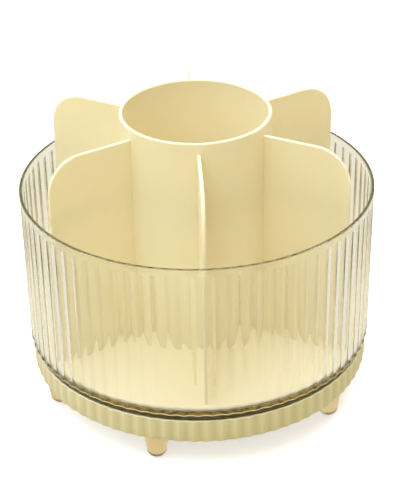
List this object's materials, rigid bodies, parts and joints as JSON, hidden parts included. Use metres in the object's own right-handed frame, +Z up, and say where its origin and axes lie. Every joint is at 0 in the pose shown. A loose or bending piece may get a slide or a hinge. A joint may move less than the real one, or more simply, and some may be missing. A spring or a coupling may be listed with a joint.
{
  "type": "rotating makeup organizer",
  "caption": "Round rotating makeup organizer: a clear fluted tub turning on a frosted base with small feet, holding a cream lift-out insert with a centre cup and radial dividers.",
  "frame": {"origin": "on the surface that the feet stand on, below the turning axis", "axes": "+Z up along the turning axis; one fin of the insert points along -Y at rest"},
  "size_m": [0.18, 0.18, 0.1551],
  "materials": {
    "tub_clear": "clear, yellow tint, fluted",
    "insert_cream": "satin moulded cream",
    "base_frosted": "frosted translucent, fluted",
    "foot_amber": "clear amber",
    "plate_white": "moulded, off-white",
    "cage_white": "moulded, natural",
    "ball_steel": "polished steel",
    "screw_steel": "zinc-plated steel"
  },
  "bodies": {
    "base": {"base_tray": "base_frosted", "foot_1": "foot_amber", "foot_2": "foot_amber", "foot_3": "foot_amber", "foot_4": "foot_amber", "foot_5": "foot_amber", "foot_6": "foot_amber"},
    "turntable": {"fluted_tub": "tub_clear", "turntable_plate": "plate_white", "plate_screws": "screw_steel", "spindle_washer": "screw_steel", "spindle_screw": "screw_steel"},
    "bearing": {"ball_cage": "cage_white", "bearing_ball_01": "ball_steel", "bearing_ball_02": "ball_steel", "bearing_ball_03": "ball_steel", "bearing_ball_04": "ball_steel", "bearing_ball_05": "ball_steel", "bearing_ball_06": "ball_steel", "bearing_ball_07": "ball_steel", "bearing_ball_08": "ball_steel", "bearing_ball_09": "ball_steel", "bearing_ball_10": "ball_steel", "bearing_ball_11": "ball_steel", "bearing_ball_12": "ball_steel", "bearing_ball_13": "ball_steel", "bearing_ball_14": "ball_steel", "bearing_ball_15": "ball_steel", "bearing_ball_16": "ball_steel"},
    "insert": {"divider_insert": "insert_cream"}
  },
  "joints": [
    {"name": "tub_spin", "type": "hinge", "parent": "base", "child": "turntable", "pos_m": [0, 0, 0.0324], "axis": [0, 0, 1], "continuous": true},
    {"name": "cage_spin", "type": "hinge", "parent": "base", "child": "bearing", "pos_m": [0, 0, 0.02385], "axis": [0, 0, 1], "continuous": true},
    {"name": "insert_lift", "type": "slide", "parent": "turntable", "child": "insert", "axis": [0, 0, 1], "range_m": [0, 0.085]}
  ],
  "couplings": [
    {"joint": "cage_spin", "follows": "tub_spin", "ratio": 0.5}
  ]
}
